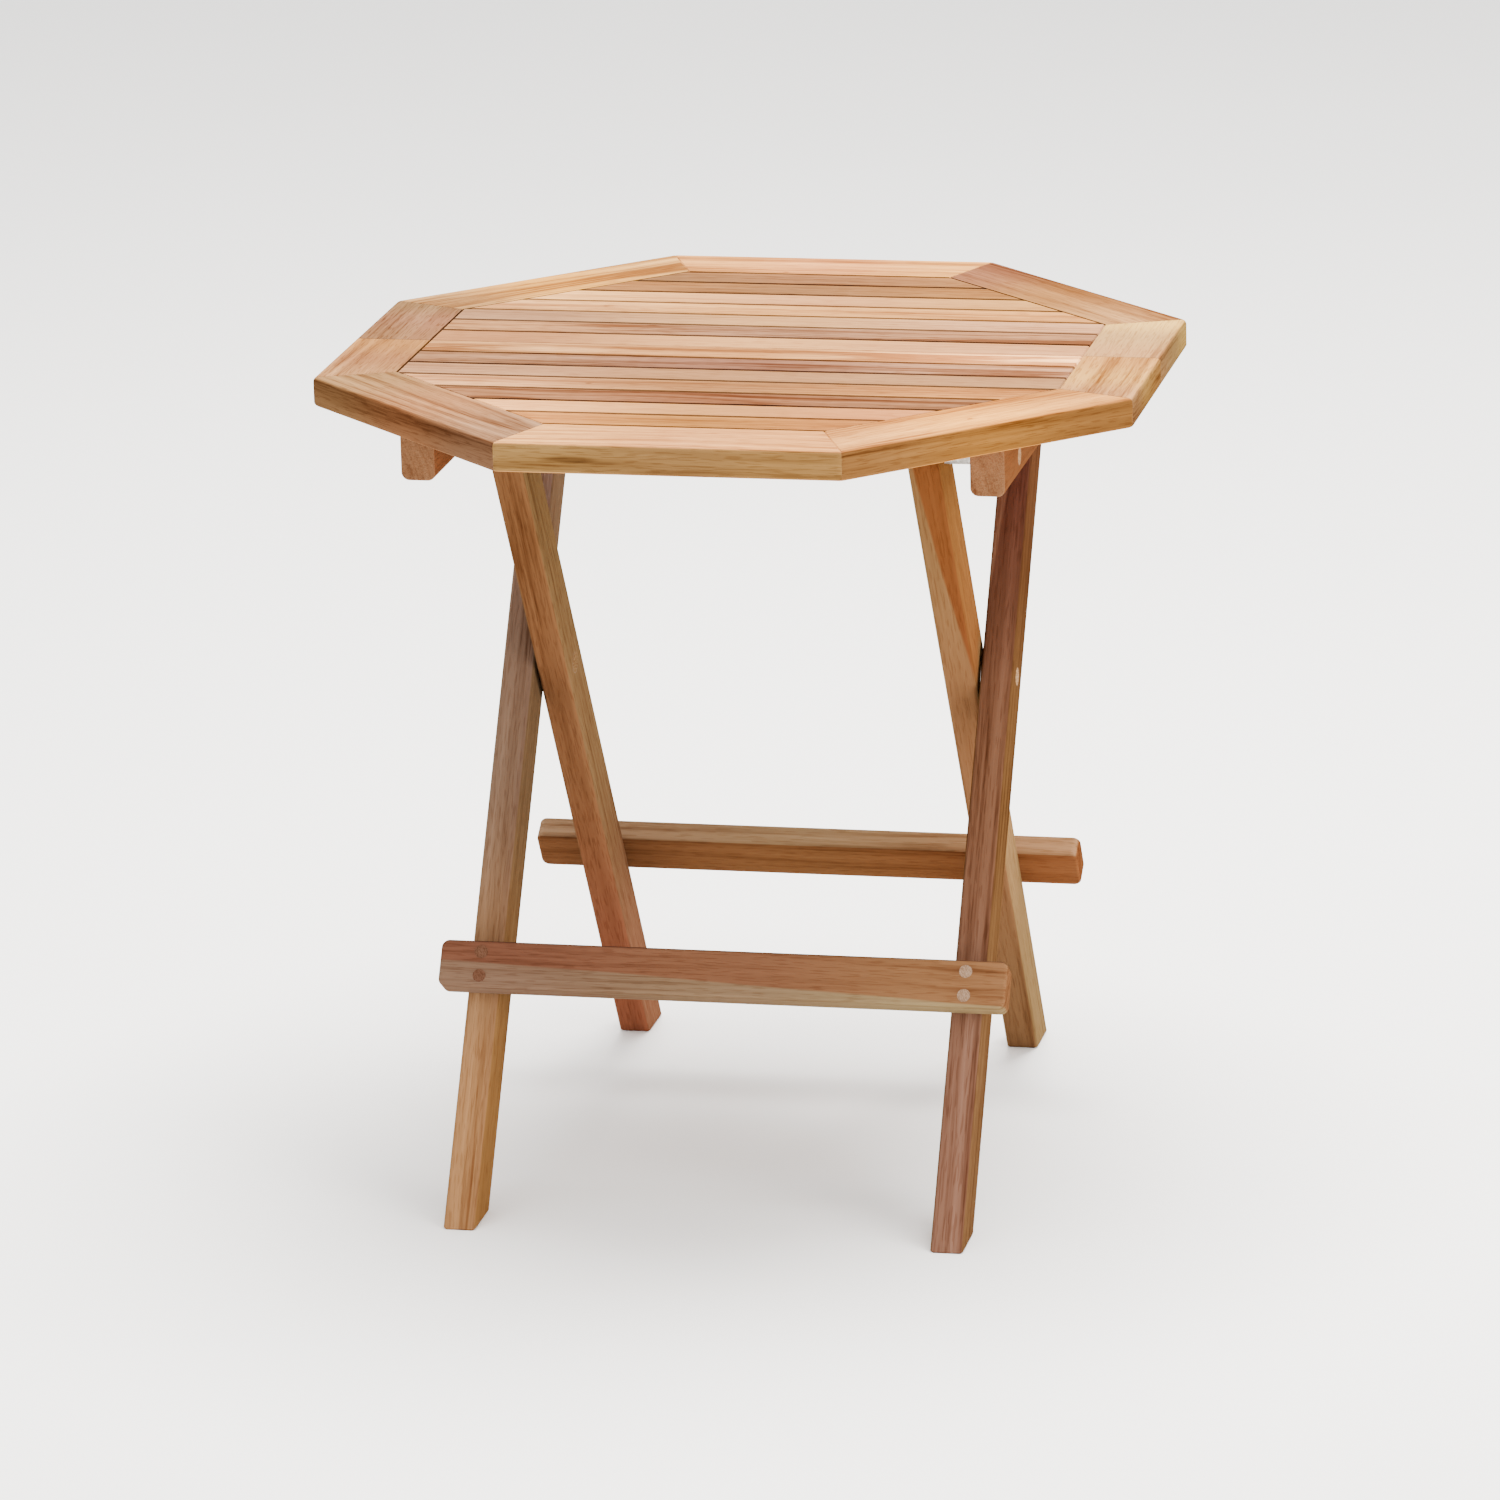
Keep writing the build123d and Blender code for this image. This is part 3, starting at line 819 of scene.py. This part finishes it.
@dataclass
class Studio:
    """The pale floor, the soft lights and the camera.

    Attributes:
        floor_size: Side of the floor, in metres.
        floor_tone: Colour of the floor where it is palest.
        floor_cloud: What the colour is multiplied by where it is darkest.
        floor_rough: Roughness of the floor.
        sky_tone: Colour of the light from all round.
        sky_strength: Strength of that light.
        lamps: The lamps.
        camera_place: Where the camera stands, in metres.
        camera_turn: How it is turned about X, Y and Z, in degrees.
        lens: Its focal length, in millimetres.
        sensor: Width of its sensor, in millimetres.
        sight: How far it sees, in metres.
    """

    floor_size: float = 60.0
    floor_tone: Colour = (0.93, 0.925, 0.915)
    floor_cloud: float = 0.985
    floor_rough: float = 0.8
    sky_tone: Colour = (1.0, 0.99, 0.975)
    sky_strength: float = 1.7
    lamps: tuple[Lamp, ...] = (
        Lamp("key", (0.2, 0.5, 3.0), (0.0, 0.0, 0.45), 2.0, 380.0, (1.0, 0.975, 0.94)),
        Lamp("fill", (2.8, -1.8, 1.5), (0.0, 0.0, 0.2), 2.0, 110.0, (1.0, 0.95, 0.88)),
    )
    camera_place: Triple = (0.9864, -4.6157, 1.6125)
    camera_turn: Triple = (73.846, 1.358, 11.771)
    lens: float = 191.28
    sensor: float = 36.0
    sight: float = 200.0

    def build(self) -> None:
        """Builds the stage round the table."""
        self._floor()
        self._sky()
        for lamp in self.lamps:
            self._hang(lamp)
        self._camera()

    def _floor(self) -> None:
        """Lays a plain pale floor."""
        half = self.floor_size / 2
        mesh = bpy.data.meshes.new("studio_floor")
        corners = [(-half, -half, 0), (half, -half, 0), (half, half, 0), (-half, half, 0)]
        mesh.from_pydata(corners, [], [(0, 1, 2, 3)])
        floor = bpy.data.objects.new("studio_floor", mesh)
        bpy.context.scene.collection.objects.link(floor)
        made = bpy.data.materials.new("studio_floor")
        made.use_nodes = True
        g = Graph(made.node_tree)
        shader = made.node_tree.nodes["Principled BSDF"]
        place = g.add("TexCoord").outputs["Object"]
        cloud = g.noise(place, (1.5, 1.5, 1.5), 3.0).outputs[0]
        low = tuple(self.floor_cloud * part for part in self.floor_tone)
        tone = g.mix(g.step(cloud, 0.3, 0.7), rgba(low), rgba(self.floor_tone))
        made.node_tree.links.new(tone, shader.inputs["Base Color"])
        shader.inputs["Roughness"].default_value = self.floor_rough
        mesh.materials.append(made)
        log.info("studio floor %.0f m", self.floor_size)

    def _sky(self) -> None:
        """Sets an even soft light from all round."""
        world = bpy.data.worlds.new("studio")
        world.use_nodes = True
        background = world.node_tree.nodes["Background"]
        background.inputs["Color"].default_value = rgba(self.sky_tone)
        background.inputs["Strength"].default_value = self.sky_strength
        bpy.context.scene.world = world

    @staticmethod
    def _hang(lamp: Lamp) -> None:
        """Hangs a lamp and points it.

        Args:
            lamp: The lamp.
        """
        light = bpy.data.lights.new(lamp.name, "AREA")
        light.size = lamp.size
        light.energy = lamp.power
        light.color = lamp.tone
        holder = bpy.data.objects.new(lamp.name, light)
        holder.location = lamp.place
        aim = Vector(lamp.target) - Vector(lamp.place)
        holder.rotation_euler = aim.to_track_quat("-Z", "Y").to_euler()
        bpy.context.scene.collection.objects.link(holder)

    def _camera(self) -> None:
        """Sets up the camera with a long lens, a little above the top of the table."""
        camera = bpy.data.cameras.new("camera")
        camera.lens = self.lens
        camera.sensor_width = self.sensor
        camera.clip_end = self.sight
        holder = bpy.data.objects.new("camera", camera)
        holder.location = self.camera_place
        holder.rotation_euler = tuple(math.radians(angle) for angle in self.camera_turn)
        bpy.context.scene.collection.objects.link(holder)
        bpy.context.scene.camera = holder


# Painted shade on the narrow faces: near black on the slat sides, so the gaps read dark under the
# soft light; half round the border.
SLAT_GAP_PAINTED_SHADE: Colour = (0.07, 0.04, 0.03)
BORDER_EDGE_PAINTED_SHADE: Colour = (0.46, 0.47, 0.45)

SLATS: dict[str, TeakFinish] = {
    "back_slat_7": TeakFinish(
        (0.142, 0.068, 0.029), (0.168, 0.076, 0.033), (0.178, 0.08, 0.03),
        cheek_light_and_shade=SLAT_GAP_PAINTED_SHADE, figure=Figure.QUIET, seed=3.1, contrast=1.1,
        bands=(Band(0.006, (1.18, 1.16, 1.12)),),
    ),
    "back_slat_6": TeakFinish(
        (0.197, 0.088, 0.031), (0.149, 0.069, 0.028), (0.207, 0.092, 0.029),
        cheek_light_and_shade=SLAT_GAP_PAINTED_SHADE, seed=11.4, contrast=1.1, bands=(Band(0.008, (1.20, 1.22, 1.20)),),
    ),
    "back_slat_5": TeakFinish(
        (0.495, 0.255, 0.095), (0.334, 0.157, 0.067), (0.321, 0.154, 0.05),
        cheek_light_and_shade=SLAT_GAP_PAINTED_SHADE, figure=Figure.QUIET, seed=21.7, contrast=0.8,
    ),
    "back_slat_4": TeakFinish(
        (0.4, 0.2, 0.08), (0.347, 0.162, 0.054), (0.357, 0.16, 0.05),
        cheek_light_and_shade=SLAT_GAP_PAINTED_SHADE, seed=31.2, contrast=1.1, knots=(Knot(-0.115, 0.001, 0.0014),),
    ),
    "back_slat_3": TeakFinish(
        (0.206, 0.108, 0.056), (0.289, 0.147, 0.061), (0.354, 0.18, 0.091),
        cheek_light_and_shade=SLAT_GAP_PAINTED_SHADE, figure=Figure.QUIET, seed=41.9, contrast=0.9,
    ),
    "back_slat_2": TeakFinish(
        (0.23, 0.109, 0.047), (0.21, 0.108, 0.059), (0.241, 0.117, 0.057),
        cheek_light_and_shade=SLAT_GAP_PAINTED_SHADE, figure=Figure.WAVY, seed=52.3, contrast=1.5, pith=(0.01, 0.02),
    ),
    "back_slat_1": TeakFinish(
        (0.23, 0.103, 0.043), (0.359, 0.175, 0.068), (0.359, 0.168, 0.074),
        cheek_light_and_shade=SLAT_GAP_PAINTED_SHADE, both_cheeks=False, figure=Figure.QUIET, seed=61.5, contrast=0.8,
    ),
    "front_slat_1": TeakFinish(
        (0.305, 0.15, 0.06), (0.255, 0.11, 0.037), (0.79, 0.405, 0.169),
        cheek_light_and_shade=SLAT_GAP_PAINTED_SHADE, both_cheeks=False, figure=Figure.CATHEDRAL, seed=70.3, contrast=1.1,
        pith=(0.004, 0.012),
    ),
    "front_slat_2": TeakFinish(
        (0.169, 0.083, 0.042), (0.135, 0.06, 0.035), (0.281, 0.14, 0.074),
        cheek_light_and_shade=SLAT_GAP_PAINTED_SHADE, figure=Figure.WAVY, seed=81.8, contrast=1.5, pith=(0.012, 0.02),
    ),
    "front_slat_3": TeakFinish(
        (0.244, 0.124, 0.063), (0.204, 0.098, 0.043), (0.22, 0.109, 0.049),
        cheek_light_and_shade=SLAT_GAP_PAINTED_SHADE, figure=Figure.QUIET, seed=13.3, contrast=0.9,
    ),
    "front_slat_4": TeakFinish(
        (0.381, 0.187, 0.083), (0.207, 0.093, 0.034), (0.315, 0.131, 0.038),
        cheek_light_and_shade=SLAT_GAP_PAINTED_SHADE, seed=24.6, contrast=1.1, knots=(Knot(-0.08, 0.0, 0.0016),),
    ),
    "front_slat_5": TeakFinish(
        (0.18, 0.081, 0.037), (0.125, 0.049, 0.022), (0.169, 0.077, 0.036),
        cheek_light_and_shade=SLAT_GAP_PAINTED_SHADE, figure=Figure.CATHEDRAL, seed=36.1, contrast=1.4,
        pith=(0.006, 0.015),
    ),
    "front_slat_6": TeakFinish(
        (0.494, 0.229, 0.086), (0.291, 0.133, 0.046), (0.326, 0.127, 0.044),
        cheek_light_and_shade=SLAT_GAP_PAINTED_SHADE, figure=Figure.QUIET, seed=47.7, contrast=0.8,
    ),
    "front_slat_7": TeakFinish(
        (0.301, 0.12, 0.033), (0.215, 0.089, 0.022), (0.231, 0.087, 0.023),
        cheek_light_and_shade=SLAT_GAP_PAINTED_SHADE, seed=58.2, contrast=1.1,
    ),
}

# On each border board, the colour given for the narrow face is painted shade on its outer edge.
BORDER: dict[str, TeakFinish] = {
    "back_border": TeakFinish(
        (0.443, 0.202, 0.056), (0.42, 0.177, 0.062), (0.391, 0.176, 0.055),
        cheek_light_and_shade=BORDER_EDGE_PAINTED_SHADE, seed=5.5, knots=(Knot(0.022, -0.02, 0.0016),),
    ),
    "back_right_border": TeakFinish(
        (0.266, 0.132, 0.05), (0.188, 0.084, 0.027), (0.149, 0.061, 0.03),
        cheek_light_and_shade=BORDER_EDGE_PAINTED_SHADE, figure=Figure.WAVY, seed=15.9, contrast=1.1,
        bands=(Band(0.004, (0.84, 0.78, 0.74)),),
    ),
    "right_back_border": TeakFinish(
        (0.308, 0.158, 0.065), (0.307, 0.174, 0.068), (0.462, 0.275, 0.081),
        cheek_light_and_shade=BORDER_EDGE_PAINTED_SHADE, figure=Figure.QUIET, seed=25.1, contrast=0.9,
    ),
    "right_front_border": TeakFinish(
        (0.278, 0.132, 0.052), (0.356, 0.181, 0.051), (0.322, 0.15, 0.044),
        cheek_light_and_shade=BORDER_EDGE_PAINTED_SHADE, figure=Figure.WAVY, seed=35.2, contrast=1.1,
    ),
    "front_right_border": TeakFinish(
        (0.411, 0.184, 0.054), (0.494, 0.209, 0.044), (0.351, 0.148, 0.038),
        cheek_light_and_shade=(0.35, 0.35, 0.35), figure=Figure.WAVY, seed=45.8, contrast=1.1,
        knots=(Knot(0.0, 0.004, 0.0015),),
    ),
    "front_border": TeakFinish(
        (0.459, 0.217, 0.074), (0.359, 0.157, 0.056), (0.416, 0.182, 0.058),
        cheek_light_and_shade=(0.47, 0.56, 0.54), figure=Figure.CATHEDRAL, seed=55.4, pith=(0.015, 0.03),
        knots=(
            Knot(-0.058, 0.0235, 0.004, 5.0, 0.62, 0.0, 0.0022),
            Knot(-0.045, 0.0235, 0.004, 6.0, 0.4, 0.0015, 0.0012),
        ),
    ),
    "front_left_border": TeakFinish(
        (0.183, 0.099, 0.041), (0.212, 0.096, 0.041), (0.192, 0.102, 0.053),
        cheek_light_and_shade=(0.56, 0.50, 0.47), figure=Figure.CATHEDRAL, seed=65.6, contrast=1.05,
        pith=(0.01, 0.025),
    ),
    "left_front_border": TeakFinish(
        (0.203, 0.091, 0.029), (0.174, 0.076, 0.031), (0.218, 0.108, 0.046),
        cheek_light_and_shade=BORDER_EDGE_PAINTED_SHADE, figure=Figure.CATHEDRAL, seed=75.3, contrast=1.1,
        pith=(0.008, 0.02),
    ),
    "left_back_border": TeakFinish(
        (0.123, 0.066, 0.029), (0.149, 0.071, 0.036), (0.137, 0.067, 0.031),
        cheek_light_and_shade=BORDER_EDGE_PAINTED_SHADE, figure=Figure.WAVY, seed=85.9, contrast=1.4,
        bands=(Band(-0.008, (0.84, 0.76, 0.74), side=-1),),
    ),
    "back_left_border": TeakFinish(
        (0.331, 0.166, 0.052), (0.371, 0.17, 0.037), (0.235, 0.123, 0.048),
        cheek_light_and_shade=BORDER_EDGE_PAINTED_SHADE, figure=Figure.CATHEDRAL, seed=8.8, contrast=1.1, pith=(0.01, 0.03),
    ),
}

FACING: dict[str, float] = {
    "back_border": 90.0,
    "back_right_border": 45.0,
    "right_back_border": 0.0,
    "right_front_border": 0.0,
    "front_right_border": -45.0,
    "front_border": -90.0,
    "front_left_border": -135.0,
    "left_front_border": 180.0,
    "left_back_border": 180.0,
    "back_left_border": 135.0,
}

BATTEN_TONE: Colour = (0.214, 0.109, 0.054)
# On each batten, the colour given for the narrow face is painted shade on both sides, under the
# top.
BATTENS: dict[str, TeakFinish] = {
    "front_left_batten": TeakFinish(
        BATTEN_TONE, BATTEN_TONE, BATTEN_TONE,
        cheek_light_and_shade=(0.70, 0.50, 0.38), seed=9.7, contrast=0.8,
    ),
    "front_right_batten": TeakFinish(
        BATTEN_TONE, BATTEN_TONE, BATTEN_TONE,
        cheek_light_and_shade=(0.60, 0.45, 0.33), seed=19.2, contrast=0.8,
    ),
    "back_left_batten": TeakFinish(
        BATTEN_TONE, BATTEN_TONE, BATTEN_TONE,
        cheek_light_and_shade=(0.70, 0.50, 0.38), seed=29.9, contrast=0.8,
    ),
    "back_right_batten": TeakFinish(
        BATTEN_TONE, BATTEN_TONE, BATTEN_TONE,
        cheek_light_and_shade=(0.60, 0.45, 0.33), seed=39.4, contrast=0.8,
    ),
}

# On each leg, the colour given for the narrow face is painted shade on both sides.
OUTER_LEGS: dict[str, TeakFinish] = {
    "outer_left_leg": TeakFinish(
        (0.254, 0.127, 0.053), (0.13, 0.078, 0.049), (0.209, 0.133, 0.098),
        cheek_light_and_shade=(0.74, 0.72, 0.54), seed=18.6, contrast=0.9,
        bands=(Band(0.0065, (0.86, 0.84, 0.86), blur=0.003),),
    ),
    "outer_right_leg": TeakFinish(
        (0.147, 0.072, 0.046), (0.128, 0.059, 0.032), (0.061, 0.019, 0.012),
        cheek_light_and_shade=(0.76, 0.78, 0.51), seed=28.4,
        bands=(
            Band(-0.0181, (1.70, 2.10, 2.10), side=-1, slope=0.078, blur=0.0015),
            Band(0.0185, (1.70, 2.10, 2.20), slope=-0.05, blur=0.006),
        ),
    ),
}

# On each leg, the colour given for the narrow face is painted light and shade on both sides.
INNER_LEGS: dict[str, TeakFinish] = {
    "inner_left_leg": TeakFinish(
        (0.137, 0.044, 0.022), (0.133, 0.057, 0.024), (0.116, 0.051, 0.02),
        cheek_light_and_shade=(0.90, 1.15, 1.19), figure=Figure.QUIET, seed=38.7,
        bands=(Band(0.0075, (1.25, 1.30, 1.30), strength=0.7, blur=0.002),),
    ),
    "inner_right_leg": TeakFinish(
        (0.12, 0.06, 0.026), (0.176, 0.08, 0.034), (0.14, 0.072, 0.028),
        cheek_light_and_shade=(1.30, 1.60, 1.55), seed=48.5, contrast=0.8,
        bands=(Band(0.0165, (0.80, 0.52, 0.38), slope=-0.083, blur=0.002),),
    ),
}

# The colour given for the narrow face is painted shade on the stretcher's top, under the table top.
FRONT_STRETCHER = TeakFinish(
    (0.128, 0.052, 0.03), (0.138, 0.06, 0.031), (0.18, 0.086, 0.038),
    cheek_light_and_shade=(0.35, 0.35, 0.47), both_cheeks=False, figure=Figure.WAVY, seed=68.9, contrast=0.8,
    bands=(Band(-0.0058, (1.15, 1.68, 1.85), side=-1, slope=-0.04, blur=0.0015),),
)

# The colour given for the narrow face is painted light on the stretcher's top.
REAR_STRETCHER = TeakFinish(
    (0.115, 0.047, 0.019), (0.13, 0.056, 0.021), (0.14, 0.051, 0.018),
    cheek_light_and_shade=(1.75, 2.60, 3.60), both_cheeks=False, figure=Figure.WAVY, seed=78.1, contrast=0.8,
)

SPLINE_TONE: Colour = (0.36, 0.22, 0.13)
SPLINE_FINISH = TeakFinish(SPLINE_TONE, SPLINE_TONE, SPLINE_TONE, seed=88.1)
SPLINES: dict[str, TeakFinish] = {
    "front_mitre_splines": SPLINE_FINISH,
    "back_mitre_splines": SPLINE_FINISH,
}

STRETCHER_MIDDLE_HEIGHT = 0.128
PALE_PLUG = PlugFinish((0.30, 0.18, 0.10), (0.32, 0.20, 0.11))
INNER_PLUG = PlugFinish((0.19, 0.11, 0.05), (0.21, 0.12, 0.055))
PLUGS: dict[str, PlugFinish] = {
    "front_stretcher_plugs": PlugFinish(
        (0.115, 0.054, 0.032), (0.27, 0.18, 0.12), (1.05, 1.05, 1.0), STRETCHER_MIDDLE_HEIGHT,
    ),
    "rear_stretcher_plugs": PlugFinish(
        (0.22, 0.13, 0.08), (0.25, 0.14, 0.08), (1.1, 1.1, 1.1), STRETCHER_MIDDLE_HEIGHT,
    ),
    "outer_leg_plugs": PALE_PLUG,
    "inner_leg_plugs": INNER_PLUG,
    "front_batten_plugs": PALE_PLUG,
    "back_batten_plugs": PALE_PLUG,
}

STEEL = MetalFinish((0.62, 0.61, 0.58), (0.36, 0.34, 0.31))
BRASS = MetalFinish((0.72, 0.53, 0.24), (0.34, 0.23, 0.11), 0.30, 220.0)
STEEL_NODES: tuple[str, ...] = (
    "back_batten_screws", "front_batten_screws", "front_stretcher_screws", "rear_stretcher_screws",
    "back_pivot_bolts", "back_pivot_nuts", "back_pivot_washers", "front_pivot_bolts",
    "front_pivot_spacers", "front_pivot_sleeve_nuts", "crossing_bolts", "crossing_nuts",
    "crossing_washers",
)
BRASS_NODES: tuple[str, ...] = (
    "back_hinge_leaves", "front_hinge_leaves", "hinge_pins", "back_hinge_screws",
    "front_hinge_screws",
)


def main() -> None:
    """Paints the table from the top down, then sets the stage."""
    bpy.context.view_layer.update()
    teak = TeakGroup()
    Slats(teak, SLATS).build()
    Border(teak, BORDER, FACING).build()
    Battens(teak, BATTENS).build()
    LegFrame(teak, 1, OUTER_LEGS, ("front_stretcher", FRONT_STRETCHER)).build()
    LegFrame(teak, -1, INNER_LEGS, ("rear_stretcher", REAR_STRETCHER)).build()
    Fittings(teak, PLUGS, SPLINES, STEEL, BRASS, STEEL_NODES, BRASS_NODES).build()
    Studio().build()


if __name__ == "__main__":
    main()
